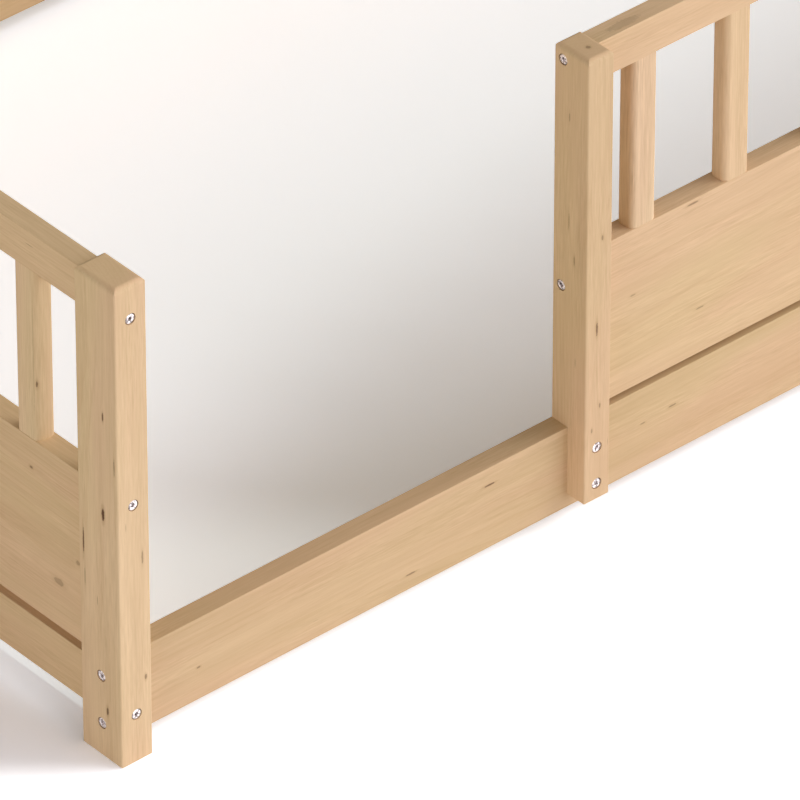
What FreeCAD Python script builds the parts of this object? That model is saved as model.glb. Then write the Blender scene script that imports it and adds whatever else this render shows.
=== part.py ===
import FreeCAD, Part

import math
import os
from collections import namedtuple

from FreeCAD import Vector

# A toddler's floor bed in pine: four corner posts, a gate post beside the entrance, boards, fences of
# balusters, and the bolts, nuts and dowels that hold the boards to the posts. It has no base: the
# mattress lies on the floor inside the frame.
#
# Everything is placed from the front left corner post: x runs along the front, y runs to the back and
# z runs up from the floor, with x = 0 and y = 0 on that post's two outer faces. The last function moves
# the origin to the middle of the footprint. All lengths are millimetres.

# ---------------------------------------------------------------- the space for the mattress
MATTRESS_LENGTH = 2000.0
MATTRESS_WIDTH = 900.0
END_PLAY = 3.0                   # free space at the head and at the foot of the mattress
SIDE_PLAY = 6.0                  # free space along each side of the mattress

# ---------------------------------------------------------------- posts
POST_HEIGHT = 512.5
CORNER_POST_X = 35.0
CORNER_POST_Y = 54.0
GATE_POST_X = 30.0
GATE_POST_PROUD = 7.0            # how far the gate post stands in front of the corner posts
GATE_FOOT_HEIGHT = 31.5          # the gate post ends this far above the floor
ENTRANCE_WIDTH = 500.0
POST_ARRIS = 1.5                 # rounding of the posts' upright edges
POST_TOP_ROUNDING = 5.5          # rounding of the posts' upper edges
POST_FOOT_ARRIS = 0.5            # rounding of the posts' lower edges

# ---------------------------------------------------------------- boards
BOARD_THICKNESS = 22.0
BOARD_ARRIS = 0.7                # rounding of the boards' long edges
SIDE_BASE_BOTTOM = 16.5          # the front and back base rails clear the floor by this
SIDE_BASE_HEIGHT = 89.0
SIDE_SLOT = 7.5                  # open slot between a base rail and the panel above it
END_BASE_BOTTOM = 39.0
END_BASE_HEIGHT = 53.0
END_SLOT = 9.0
PANEL_TOP = 286.5                # height of every panel's top edge above the floor
TOP_RAIL_HEIGHT = 40.0
TOP_RAIL_STEP = 5.0              # the top rails lie this far below the posts' tops

# ---------------------------------------------------------------- balusters
BALUSTER_WIDTH = 30.0
BALUSTER_THICKNESS = 21.0
BALUSTER_ROUNDING = 6.0
TENON_WIDTH = 18.0
TENON_THICKNESS = 10.0
TENON_LENGTH = 12.0
MORTISE_FIT = 0.1                # free space round a tenon
MORTISE_END_GAP = 1.0            # free space beyond a tenon's end
FRONT_BALUSTERS = 13             # how many balusters each fence has, spread evenly
BACK_BALUSTERS = 18
END_BALUSTERS = 8
SIDE_FIRST_BALUSTER = 59.5       # from a post's face to the middle of the first baluster
END_FIRST_BALUSTER = 77.0

# ---------------------------------------------------------------- bolts, nuts and dowels
BOLT_DIAMETER = 6.0
BOLT_HOLE_DIAMETER = 7.0
BOLT_HEAD_DIAMETER = 10.0
BOLT_HEAD_HEIGHT = 6.0
BOLT_HEAD_ARRIS = 0.6
BOLT_HEAD_RECESS = 0.5           # the head lies this far below the post's face
HEX_SOCKET_WIDTH = 4.0           # across the flats
HEX_SOCKET_DEPTH = 2.5
COUNTERBORE_DIAMETER = 11.5
BARREL_NUT_DIAMETER = 10.0
BARREL_NUT_LENGTH = 14.0
BARREL_NUT_SET_BACK = 30.0       # from the end of a board to the barrel nut's axis
BARREL_HOLE_FIT = 0.1            # free space round a barrel nut
NUT_SLOT_WIDTH = 1.4
NUT_SLOT_DEPTH = 1.6
THREAD_FIT = 0.05                # free space between a bolt and its nut's thread
BOLT_TIP = 7.0                   # a bolt ends this far past its barrel nut's axis
BOLT_HOLE_END_GAP = 3.0
INSERT_NUT_DIAMETER = 10.0
INSERT_NUT_LENGTH = 13.0
INSERT_HOLE_END_GAP = 1.0
DOWEL_DIAMETER = 8.0
DOWEL_IN_POST = 12.0
DOWEL_IN_BOARD = 18.0
DOWEL_CHAMFER = 1.0
DOWEL_FIT = 0.05                 # free space round a dowel
DOWEL_END_GAP = 1.0

# ---------------------------------------------------------------- heights of the bolts and dowels
TOP_RAIL_HOLE_OFFSET = 11.0      # above and below the top rail's middle
PANEL_UPPER_HOLE = 8.0           # below the panel's top edge
PANEL_SECOND_HOLE = 30.5         # below the panel's top edge
PANEL_LOW_DOWEL = 30.0           # above the panel's bottom edge
SIDE_BASE_BOLT_OFFSET = 26.0     # above and below the base rail's middle
END_BASE_HOLE_OFFSET = 14.0
GATE_BOLT_MARGIN = 17.0          # below the base rail's top, and above the gate post's foot

# ---------------------------------------------------------------- places worked out from the sizes
side_inset = (CORNER_POST_Y - BOARD_THICKNESS) / 2
end_inset = (CORNER_POST_X - BOARD_THICKNESS) / 2
bed_length = MATTRESS_LENGTH + 2 * (END_PLAY + BOARD_THICKNESS + end_inset)
bed_width = MATTRESS_WIDTH + 2 * (SIDE_PLAY + BOARD_THICKNESS + side_inset)

left_face = CORNER_POST_X                     # where the boards of the long sides start and end
right_face = bed_length - CORNER_POST_X
front_face = CORNER_POST_Y                    # where the boards of the two ends start and end
back_face = bed_width - CORNER_POST_Y
gate_left = left_face + ENTRANCE_WIDTH
gate_right = gate_left + GATE_POST_X

front_line = side_inset + BOARD_THICKNESS / 2  # the middles of the boards' thicknesses
back_line = bed_width - front_line
left_line = end_inset + BOARD_THICKNESS / 2
right_line = bed_length - left_line

side_base_top = SIDE_BASE_BOTTOM + SIDE_BASE_HEIGHT
side_base_middle = SIDE_BASE_BOTTOM + SIDE_BASE_HEIGHT / 2
side_panel_bottom = side_base_top + SIDE_SLOT
end_base_top = END_BASE_BOTTOM + END_BASE_HEIGHT
end_base_middle = END_BASE_BOTTOM + END_BASE_HEIGHT / 2
end_panel_bottom = end_base_top + END_SLOT
top_rail_top = POST_HEIGHT - TOP_RAIL_STEP
top_rail_bottom = top_rail_top - TOP_RAIL_HEIGHT
top_rail_middle = top_rail_top - TOP_RAIL_HEIGHT / 2

counterbore_depth = BOLT_HEAD_HEIGHT + BOLT_HEAD_RECESS
ALONG_X = Vector(1, 0, 0)
ALONG_Y = Vector(0, 1, 0)
ALONG_Z = Vector(0, 0, 1)
OVERCUT = 1.0                                 # a cutting tool starts this far outside the wood

pieces = {}                                   # name of each piece: its solid
cuts = {}                                     # name of each piece: the tools that cut it
hardware = {}                                 # name of each group of fasteners: its solids


# ---------------------------------------------------------------- shared shapes
def edges_along(shape, direction):
    """The straight edges of a shape that run along a direction."""
    found = []
    for edge in shape.Edges:
        run = edge.Vertexes[-1].Point - edge.Vertexes[0].Point
        if run.cross(direction).Length < 0.001 * run.Length:
            found.append(edge)
    return found


def bar(low, high, direction, rounding):
    """A straight bar between two corners, with the edges along one direction rounded."""
    size = high - low
    block = Part.makeBox(size.x, size.y, size.z, low)
    return block.makeFillet(rounding, edges_along(block, direction))


def rod(diameter, start, end):
    """A round rod along x."""
    return Part.makeCylinder(diameter / 2, end - start, Vector(start, 0, 0), ALONG_X)


def round_ended_block(width, thickness, bottom, top):
    """A block standing on z, as wide along x as told, with half round narrow sides."""
    straight = (width - thickness) / 2
    middle = Part.makeBox(2 * straight, thickness, top - bottom, Vector(-straight, -thickness / 2, bottom))
    ends = [Part.makeCylinder(thickness / 2, top - bottom, Vector(side * straight, 0, bottom))
            for side in (-1, 1)]
    return middle.fuse(ends).removeSplitter()


def turned(shape, degrees, place):
    """A copy of a shape, turned about the z axis and then moved."""
    copy = shape.copy()
    copy.rotate(Vector(0, 0, 0), ALONG_Z, degrees)
    copy.translate(place)
    return copy


def cut_later(name, tool):
    cuts.setdefault(name, []).append(tool)


def add_hardware(name, solid):
    hardware.setdefault(name, []).append(solid)


# ---------------------------------------------------------------- posts
def round_top(post, low, high):
    """Round the four upper edges of a post between two corners, with a mitre at each corner."""
    below = Vector(0, 0, 2 * POST_TOP_ROUNDING)
    for direction in (ALONG_X, ALONG_Y):
        beyond = direction * OVERCUT
        hood = bar(low - beyond - below, high + beyond, direction, POST_TOP_ROUNDING)
        post = post.common(hood)
    return post.removeSplitter()


def make_corner_posts():
    for side, y in (("front", 0.0), ("back", back_face)):
        for end, x in (("left", 0.0), ("right", right_face)):
            low = Vector(x, y, 0)
            high = low + Vector(CORNER_POST_X, CORNER_POST_Y, POST_HEIGHT)
            post = bar(low, high, ALONG_Z, POST_ARRIS)
            foot = [edge for edge in post.Edges if edge.BoundBox.ZMax < 0.001]
            post = post.makeFillet(POST_FOOT_ARRIS, foot)
            pieces["corner_post_%s_%s" % (side, end)] = round_top(post, low, high)


def make_gate_post():
    """It stands on the front base rail, and its front part runs down over the rail's face."""
    back = side_inset + BOARD_THICKNESS
    corners = [(-GATE_POST_PROUD, GATE_FOOT_HEIGHT), (side_inset, GATE_FOOT_HEIGHT),
               (side_inset, side_base_top), (back, side_base_top),
               (back, POST_HEIGHT), (-GATE_POST_PROUD, POST_HEIGHT)]
    points = [Vector(gate_left, y, z) for y, z in corners]
    outline = Part.makePolygon(points + points[:1])
    post = Part.Face(outline).extrude(Vector(GATE_POST_X, 0, 0))
    uprights = [edge for edge in edges_along(post, ALONG_Z) if edge.BoundBox.ZMax > POST_HEIGHT - 0.001]
    post = post.makeFillet(POST_ARRIS, uprights)
    foot = [edge for edge in post.Edges if edge.BoundBox.ZMax < GATE_FOOT_HEIGHT + 0.001
            and edge.BoundBox.YMin < side_inset - 0.001]
    post = post.makeFillet(POST_FOOT_ARRIS, foot)
    low = Vector(gate_left, -GATE_POST_PROUD, GATE_FOOT_HEIGHT)
    pieces["gate_post"] = round_top(post, low, Vector(gate_right, back, POST_HEIGHT))


# ---------------------------------------------------------------- boards
def side_board(name, start, end, line, bottom, top):
    """A board of the front or the back, along x."""
    half = BOARD_THICKNESS / 2
    low = Vector(start, line - half, bottom)
    high = Vector(end, line + half, top)
    pieces[name] = bar(low, high, ALONG_X, BOARD_ARRIS)


def end_board(name, line, bottom, top):
    """A board of the left or the right end, along y."""
    half = BOARD_THICKNESS / 2
    low = Vector(line - half, front_face, bottom)
    high = Vector(line + half, back_face, top)
    pieces[name] = bar(low, high, ALONG_Y, BOARD_ARRIS)


def make_boards():
    for side, start, line in (("front", gate_right, front_line), ("back", left_face, back_line)):
        side_board(side + "_base_rail", left_face, right_face, line, SIDE_BASE_BOTTOM, side_base_top)
        side_board(side + "_fence_panel", start, right_face, line, side_panel_bottom, PANEL_TOP)
        side_board(side + "_fence_top_rail", start, right_face, line, top_rail_bottom, top_rail_top)
    for end, line in (("left", left_line), ("right", right_line)):
        end_board(end + "_end_base_rail", line, END_BASE_BOTTOM, end_base_top)
        end_board(end + "_end_panel", line, end_panel_bottom, PANEL_TOP)
        end_board(end + "_end_top_rail", line, top_rail_bottom, top_rail_top)


# ---------------------------------------------------------------- balusters
def baluster():
    """One baluster about the z axis, from panel to top rail, with a tenon at each end."""
    low = Vector(-BALUSTER_WIDTH / 2, -BALUSTER_THICKNESS / 2, PANEL_TOP)
    high = Vector(BALUSTER_WIDTH / 2, BALUSTER_THICKNESS / 2, top_rail_bottom)
    rounding = min(BALUSTER_ROUNDING, 0.45 * BALUSTER_THICKNESS, 0.45 * BALUSTER_WIDTH)
    body = bar(low, high, ALONG_Z, rounding)
    tenon = round_ended_block(TENON_WIDTH, TENON_THICKNESS, PANEL_TOP - TENON_LENGTH,
                              top_rail_bottom + TENON_LENGTH)
    return body.fuse(tenon).removeSplitter()


def mortise(at_top):
    """The tool that cuts one tenon's mortise, in the top rail or in the panel."""
    depth = TENON_LENGTH + MORTISE_END_GAP
    bottom = top_rail_bottom - OVERCUT if at_top else PANEL_TOP - depth
    top = top_rail_bottom + depth if at_top else PANEL_TOP + OVERCUT
    return round_ended_block(TENON_WIDTH + 2 * MORTISE_FIT, TENON_THICKNESS + 2 * MORTISE_FIT,
                             bottom, top)


def spread_evenly(start, end, first, count):
    """The middles of a fence's balusters between two posts."""
    pitch = (end - start - 2 * first) / (count - 1)
    return [start + first + number * pitch for number in range(count)]


def make_fence(places, degrees, panel, top_rail):
    """The balusters of one fence, with their mortises marked in the panel and the top rail."""
    balusters = []
    for place in places:
        balusters.append(turned(baluster(), degrees, place))
        cut_later(panel, turned(mortise(False), degrees, place))
        cut_later(top_rail, turned(mortise(True), degrees, place))
    return balusters


def make_balusters():
    front_places = [Vector(x, front_line, 0) for x in
                    spread_evenly(gate_right, right_face, SIDE_FIRST_BALUSTER, FRONT_BALUSTERS)]
    front = make_fence(front_places, 0, "front_fence_panel", "front_fence_top_rail")
    for number, solid in enumerate(front, 1):
        pieces["front_baluster_%02d" % number] = solid
    for end, line in (("left", left_line), ("right", right_line)):
        places = [Vector(line, y, 0) for y in
                  spread_evenly(front_face, back_face, END_FIRST_BALUSTER, END_BALUSTERS)]
        fence = make_fence(places, 90, end + "_end_panel", end + "_end_top_rail")
        for number, solid in enumerate(fence, 1):
            pieces["%s_end_baluster_%02d" % (end, number)] = solid
    back_places = [Vector(x, back_line, 0) for x in
                   spread_evenly(left_face, right_face, SIDE_FIRST_BALUSTER, BACK_BALUSTERS)]
    pieces["back_fence_balusters"] = Part.makeCompound(
        make_fence(back_places, 0, "back_fence_panel", "back_fence_top_rail"))


# ---------------------------------------------------------------- bolts, nuts and dowels
# Each fastener is made along x, about a spot where a board's end meets a post's face: the post lies at
# x < 0 and the board at x > 0. A Meeting says where that spot is and which way the board runs.
# inside is +1 or -1: the side of the board, in y before turning, where the barrel nut goes in.
Meeting = namedtuple("Meeting", "post board x y degrees inside post_depth bolts")


def cap_bolt(post_depth, tip):
    """A bolt with a round head and a hexagon socket, from the post's outer face to its tip."""
    head_face = BOLT_HEAD_RECESS - post_depth
    head_seat = counterbore_depth - post_depth
    head = rod(BOLT_HEAD_DIAMETER, head_face, head_seat)
    rim = [edge for edge in head.Edges if edge.BoundBox.XMax < head_face + 0.001]
    head = head.makeFillet(BOLT_HEAD_ARRIS, rim)
    corner_radius = HEX_SOCKET_WIDTH / math.sqrt(3)
    corners = [Vector(head_face - OVERCUT, corner_radius * math.cos(math.radians(60 * turn)),
                      corner_radius * math.sin(math.radians(60 * turn))) for turn in range(7)]
    socket = Part.Face(Part.makePolygon(corners)).extrude(Vector(OVERCUT + HEX_SOCKET_DEPTH, 0, 0))
    return head.cut(socket).fuse(rod(BOLT_DIAMETER, head_seat, tip)).removeSplitter()


def post_bolt_hole(post_depth):
    counterbore = rod(COUNTERBORE_DIAMETER, -post_depth - OVERCUT, counterbore_depth - post_depth)
    return counterbore.fuse(rod(BOLT_HOLE_DIAMETER, -post_depth, OVERCUT))


def barrel_nut(inside):
    """A cross nut in the board, threaded for the bolt and slotted on the end that shows."""
    half = BARREL_NUT_LENGTH / 2
    start = Vector(BARREL_NUT_SET_BACK, -half, 0)
    nut = Part.makeCylinder(BARREL_NUT_DIAMETER / 2, BARREL_NUT_LENGTH, start, ALONG_Y)
    thread = rod(BOLT_DIAMETER + 2 * THREAD_FIT, 0, 2 * BARREL_NUT_SET_BACK)
    slot_floor = half - NUT_SLOT_DEPTH if inside > 0 else -half - OVERCUT
    slot = Part.makeBox(BARREL_NUT_DIAMETER + 2 * OVERCUT, NUT_SLOT_DEPTH + OVERCUT, NUT_SLOT_WIDTH,
                        Vector(BARREL_NUT_SET_BACK - BARREL_NUT_DIAMETER / 2 - OVERCUT, slot_floor,
                               -NUT_SLOT_WIDTH / 2))
    return nut.cut([thread, slot])


def board_bolt_hole(inside):
    """The bolt's hole in the board's end, and the nut's hole from the board's inner face."""
    bolt_hole = rod(BOLT_HOLE_DIAMETER, -OVERCUT, BARREL_NUT_SET_BACK + BOLT_TIP + BOLT_HOLE_END_GAP)
    length = BARREL_NUT_LENGTH / 2 + BOARD_THICKNESS / 2 + OVERCUT
    start = Vector(BARREL_NUT_SET_BACK, -inside * BARREL_NUT_LENGTH / 2, 0)
    nut_hole = Part.makeCylinder(BARREL_NUT_DIAMETER / 2 + BARREL_HOLE_FIT, length, start,
                                 Vector(0, inside, 0))
    return bolt_hole.fuse(nut_hole)


def dowel():
    pin = rod(DOWEL_DIAMETER, -DOWEL_IN_POST, DOWEL_IN_BOARD)
    rims = [edge for edge in pin.Edges if edge.BoundBox.XLength < 0.001]
    return pin.makeChamfer(DOWEL_CHAMFER, rims)


def dowel_hole():
    return rod(DOWEL_DIAMETER + 2 * DOWEL_FIT, -DOWEL_IN_POST - DOWEL_END_GAP,
               DOWEL_IN_BOARD + DOWEL_END_GAP)


def join(meeting, bolt_heights, dowel_heights):
    """Bolt and dowel a board's end to a post."""
    def placed(shape, height):
        return turned(shape, meeting.degrees, Vector(meeting.x, meeting.y, height))

    for height in bolt_heights:
        tip = BARREL_NUT_SET_BACK + BOLT_TIP
        add_hardware(meeting.bolts, placed(cap_bolt(meeting.post_depth, tip), height))
        add_hardware("barrel_nuts", placed(barrel_nut(meeting.inside), height))
        cut_later(meeting.post, placed(post_bolt_hole(meeting.post_depth), height))
        cut_later(meeting.board, placed(board_bolt_hole(meeting.inside), height))
    for height in dowel_heights:
        add_hardware("wooden_dowels", placed(dowel(), height))
        cut_later(meeting.post, placed(dowel_hole(), height))
        cut_later(meeting.board, placed(dowel_hole(), height))


def join_side(side, line, inside, start, start_post, start_depth, start_bolts):
    """The boards of the front or the back: one bolt each in panel and top rail, two in the base."""
    right_post = "corner_post_%s_right" % side
    top_heights = [top_rail_middle + TOP_RAIL_HOLE_OFFSET], [top_rail_middle - TOP_RAIL_HOLE_OFFSET]
    panel_heights = ([PANEL_TOP - PANEL_SECOND_HOLE],
                     [PANEL_TOP - PANEL_UPPER_HOLE, side_panel_bottom + PANEL_LOW_DOWEL])
    base_heights = ([side_base_middle - SIDE_BASE_BOLT_OFFSET, side_base_middle + SIDE_BASE_BOLT_OFFSET],
                    [side_base_middle])
    for board, heights in (("_fence_top_rail", top_heights), ("_fence_panel", panel_heights)):
        join(Meeting(start_post, side + board, start, line, 0, inside, start_depth, start_bolts),
             *heights)
        join(Meeting(right_post, side + board, right_face, line, 180, -inside, CORNER_POST_X,
                     "side_bolts"), *heights)
    base_rail = side + "_base_rail"
    join(Meeting("corner_post_%s_left" % side, base_rail, left_face, line, 0, inside, CORNER_POST_X,
                 "side_bolts"), *base_heights)
    join(Meeting(right_post, base_rail, right_face, line, 180, -inside, CORNER_POST_X, "side_bolts"),
         *base_heights)


def join_end(end, line, inside):
    """The boards of the left or the right end: one bolt and one or two dowels at each post."""
    top_heights = [top_rail_middle - TOP_RAIL_HOLE_OFFSET], [top_rail_middle + TOP_RAIL_HOLE_OFFSET]
    panel_heights = ([PANEL_TOP - PANEL_UPPER_HOLE],
                     [PANEL_TOP - PANEL_SECOND_HOLE, end_panel_bottom + PANEL_LOW_DOWEL])
    base_heights = [end_base_middle - END_BASE_HOLE_OFFSET], [end_base_middle + END_BASE_HOLE_OFFSET]
    for board, heights in (("_end_top_rail", top_heights), ("_end_panel", panel_heights),
                           ("_end_base_rail", base_heights)):
        join(Meeting("corner_post_front_" + end, end + board, line, front_face, 90, -inside,
                     CORNER_POST_Y, "end_bolts"), *heights)
        join(Meeting("corner_post_back_" + end, end + board, line, back_face, 270, inside,
                     CORNER_POST_Y, "end_bolts"), *heights)


def insert_nut():
    """A threaded sleeve in the base rail's face, behind the gate post's foot."""
    sleeve = rod(INSERT_NUT_DIAMETER, 0, INSERT_NUT_LENGTH)
    return sleeve.cut(rod(BOLT_DIAMETER + 2 * THREAD_FIT, -OVERCUT, INSERT_NUT_LENGTH + OVERCUT))


def join_gate_foot():
    """Two bolts through the gate post's foot into sleeves in the front base rail."""
    foot_depth = GATE_POST_PROUD + side_inset
    middle = (gate_left + gate_right) / 2
    sleeve_hole = rod(INSERT_NUT_DIAMETER, -OVERCUT, INSERT_NUT_LENGTH + INSERT_HOLE_END_GAP)
    for height in (side_base_top - GATE_BOLT_MARGIN, GATE_FOOT_HEIGHT + GATE_BOLT_MARGIN):
        spot = Vector(middle, side_inset, height)
        add_hardware("gate_post_foot_bolts", turned(cap_bolt(foot_depth, INSERT_NUT_LENGTH), 90, spot))
        add_hardware("insert_nuts", turned(insert_nut(), 90, spot))
        cut_later("gate_post", turned(post_bolt_hole(foot_depth), 90, spot))
        cut_later("front_base_rail", turned(sleeve_hole, 90, spot))


def make_joints():
    join_side("front", front_line, 1, gate_right, "gate_post", GATE_POST_X, "gate_post_side_bolts")
    join_side("back", back_line, -1, left_face, "corner_post_back_left", CORNER_POST_X, "side_bolts")
    join_end("left", left_line, 1)
    join_end("right", right_line, -1)
    join_gate_foot()


# ---------------------------------------------------------------- files
def write_files():
    """Write one file for each piece, with the origin moved to the middle of the footprint."""
    os.makedirs("parts", exist_ok=True)
    to_middle = Vector(-bed_length / 2, (GATE_POST_PROUD - bed_width) / 2, 0)
    for name, solid in pieces.items():
        shape = solid.cut(cuts[name]) if name in cuts else solid
        turned(shape, 0, to_middle).exportStep("parts/%s.step" % name)
    for name, solids in hardware.items():
        turned(Part.makeCompound(solids), 0, to_middle).exportStep("parts/%s.step" % name)


make_corner_posts()
make_gate_post()
make_boards()
make_balusters()
make_joints()
write_files()
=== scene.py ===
# %% [markdown]
# # A toddler's floor bed in solid pine
# The bed is a low frame without a base: the mattress lies on the floor inside it. This notebook dresses
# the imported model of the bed. The boards, posts and balusters keep their meshes and get a pine made of
# nodes, and the bolts that hold them together are made again by Geometry Nodes with more detail.
#
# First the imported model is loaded. Every later piece is placed from what it says, in metres: x runs along
# the front, y runs to the back and z runs up from the floor.

import math
import random
from collections import namedtuple

import bpy
from mathutils import Euler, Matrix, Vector


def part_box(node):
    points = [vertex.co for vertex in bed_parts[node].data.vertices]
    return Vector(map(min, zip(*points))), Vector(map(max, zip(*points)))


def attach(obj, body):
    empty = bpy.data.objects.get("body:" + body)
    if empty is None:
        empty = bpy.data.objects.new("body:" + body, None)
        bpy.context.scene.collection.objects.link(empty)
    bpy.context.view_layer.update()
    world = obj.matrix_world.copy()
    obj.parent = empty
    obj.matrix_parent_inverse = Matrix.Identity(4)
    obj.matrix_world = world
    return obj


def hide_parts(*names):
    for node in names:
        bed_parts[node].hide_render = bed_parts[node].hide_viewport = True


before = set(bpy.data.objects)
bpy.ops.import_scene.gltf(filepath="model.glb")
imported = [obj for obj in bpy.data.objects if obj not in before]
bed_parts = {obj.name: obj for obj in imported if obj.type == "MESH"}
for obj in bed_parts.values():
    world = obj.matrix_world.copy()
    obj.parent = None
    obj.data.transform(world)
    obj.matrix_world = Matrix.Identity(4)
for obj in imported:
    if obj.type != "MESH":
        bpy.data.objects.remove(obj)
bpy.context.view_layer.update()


def rounded(place):
    """A place in metres, rounded for printing."""
    return tuple(round(value, 4) for value in place)


# %% [markdown]
# ## The camera
# The photograph was taken from far away with a long lens, from the front left and well above the bed, so
# its edges look almost parallel. Such a view could be made with an orthographic camera, but a very long
# lens keeps the slight narrowing that the photograph has. The camera looks at the corner from about ten
# metres away, and the crop needs no lens shift.

# %% Camera
PHOTO_SIZE = 800                         # pixels
LENS_PIXELS = 11869.0                    # the lens's focal length in the photograph's pixels
SENSOR_WIDTH = 36                        # millimetres
VIEW_LIMIT = 200                         # metres
VIEW_TURN = math.radians(40.99)          # round the bed, from straight in front towards its left end
VIEW_TILT = math.radians(36.02)          # above the horizon
NEAR_FOOT_PIXEL = (122.33, 768.93)       # where the near corner post's front left foot corner shows
NEAR_FOOT_DEPTH = 10.397                 # metres in front of the camera

aim = Vector((math.sin(VIEW_TURN) * math.cos(VIEW_TILT), math.cos(VIEW_TURN) * math.cos(VIEW_TILT),
              -math.sin(VIEW_TILT)))
rightwards = Vector((math.cos(VIEW_TURN), -math.sin(VIEW_TURN), 0.0))
downwards = aim.cross(rightwards)
near_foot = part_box("corner_post_front_left")[0]
across, below = ((pixel - PHOTO_SIZE / 2) / LENS_PIXELS * NEAR_FOOT_DEPTH for pixel in NEAR_FOOT_PIXEL)

camera_data = bpy.data.cameras.new("long_lens")
camera_data.sensor_width = SENSOR_WIDTH
camera_data.lens = SENSOR_WIDTH * LENS_PIXELS / PHOTO_SIZE
camera_data.clip_end = VIEW_LIMIT
camera = bpy.data.objects.new("camera", camera_data)
camera.location = near_foot - aim * NEAR_FOOT_DEPTH - rightwards * across - downwards * below
camera.rotation_euler = aim.to_track_quat("-Z", "Y").to_euler()
bpy.context.scene.collection.objects.link(camera)
bpy.context.scene.camera = camera
print("camera at", rounded(camera.location), "lens", round(camera_data.lens, 1), "mm")

# %% [markdown]
# ## Small helpers for node trees
# Materials and Geometry Nodes are both node trees. A few helpers keep the cells short: one adds a node, sets
# it up and fills or links its sockets, and the others add one common step, such as a sum, a mix of two
# colours or a noise. Colours are written as they look on a screen, from 0 to 255, and are turned into the
# linear values that Blender mixes light with.

# %% Helpers for node trees
def feed(tree, socket, value):
    """Gives a socket a value, or links another node's output to it."""
    if isinstance(value, bpy.types.NodeSocket):
        tree.links.new(value, socket)
    else:
        socket.default_value = value


def put(tree, kind, sockets=None, **settings):
    """Adds a node. Its sockets are named or counted, and each is given a value or a node's output."""
    node = tree.nodes.new(kind)
    for name, value in settings.items():
        setattr(node, name, value)
    for key, value in (sockets or {}).items():
        feed(tree, node.inputs[key], value)
    return node


def calc(tree, operation, *values):
    """One step of arithmetic on numbers."""
    return put(tree, "ShaderNodeMath", dict(enumerate(values)), operation=operation).outputs[0]


def reckon(tree, operation, *values):
    """One step of arithmetic on vectors."""
    node = put(tree, "ShaderNodeVectorMath", dict(enumerate(values)), operation=operation)
    return node.outputs["Value" if operation in ("LENGTH", "DOT_PRODUCT") else "Vector"]


def blend(tree, factor, first, second, mode="MIX"):
    """Mixes two colours."""
    sockets = {0: factor, 6: first, 7: second}
    return put(tree, "ShaderNodeMix", sockets, data_type="RGBA", blend_type=mode).outputs[2]


def remap(tree, value, low, high, new_low=0.0, new_high=1.0, smooth=True):
    """Turns the range low..high into new_low..new_high, with soft ends."""
    kind = "SMOOTHSTEP" if smooth else "LINEAR"
    sockets = {0: value, 1: low, 2: high, 3: new_low, 4: new_high}
    return put(tree, "ShaderNodeMapRange", sockets, interpolation_type=kind).outputs[0]


def stretched_noise(tree, place, rate, detail, roughness=0.5):
    """A smooth noise, as a number and as a colour. It changes at a rate of its own along x, y and z."""
    return put(tree, "ShaderNodeTexNoise", {
        "Vector": reckon(tree, "MULTIPLY", place, rate), "Scale": 1.0, "Detail": detail,
        "Roughness": roughness}).outputs


def screen_colour(red, green, blue):
    """A colour as it looks on a screen, 0 to 255, as linear light."""
    def linear(level):
        level /= 255
        return level / 12.92 if level <= 0.04045 else ((level + 0.055) / 1.055) ** 2.4
    return (linear(red), linear(green), linear(blue), 1.0)


def new_material(name):
    material = bpy.data.materials.new(name)
    material.use_nodes = True
    material.node_tree.nodes.clear()
    return material


def new_group(name, kind, inputs, outputs):
    """A node group and what it's given. A socket is a name, a type and, for most inputs, a first value."""
    tree = bpy.data.node_groups.new(name, kind)
    for direction, sockets in (("INPUT", inputs), ("OUTPUT", outputs)):
        for label, form, *first_value in sockets:
            socket = tree.interface.new_socket(label, in_out=direction, socket_type="NodeSocket" + form)
            if first_value:
                socket.default_value = first_value[0]
    return tree, tree.nodes.new("NodeGroupInput").outputs


print("helpers ready")

# %% [markdown]
# ## The pine itself
# Pine is a pile of thin cones, one for each year the tree grew. A board shows lines where a saw cut across
# those years: straight lines where it cut far from the heart, long arches where it cut along the skin of a
# year. An image could be stretched over each board, but it would not agree at the edges. So the wood is a
# solid texture: the nodes describe a log, with its heart along the texture's x axis, and each board is a
# piece cut out of it. The faces, rounded edges and end grain then belong together by themselves.
#
# The group below makes the years from the distance to the heart, lets them wander slowly along the log,
# and adds broad bands, fibres, flecks, short dark resin streaks, a slow drift of colour and small knots
# with the grain bending round them. Where a face cuts across the grain, the streaks are only dots, so there
# they are calmer. Everything is quiet, because the real boards are planed, sanded and very evenly pale.

# %% Pine: colours and sizes
PINE_EARLY = screen_colour(222, 190, 151)      # the pale wood of spring
PINE_LATE = screen_colour(200, 160, 115)       # the darker line of summer
PINE_ROSY = screen_colour(223, 188, 151)       # patches that lean to pink
PINE_STRAW = screen_colour(220, 190, 148)      # patches that lean to straw yellow
PINE_RESIN = screen_colour(112, 74, 42)
KNOT_HEART = screen_colour(88, 54, 28)
KNOT_RIM = screen_colour(158, 112, 66)
STREAK_TINT = (0.8, 1.0, 1.3)                  # a dark streak loses more blue than red, so it stays warm
END_TINT = (0.04, 0.0, 0.0)                    # end grain is a little redder
END_STREAKS = 0.3                              # and its streaks, cut across, are hardly seen
PINE_ROUGHNESS = (0.6, 0.72)
NOISE_SPAN = (0.25, 0.75)                      # a noise seldom leaves these values
MIDDLE_OF_NOISE = (0.5, 0.5, 0.5)

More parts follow.
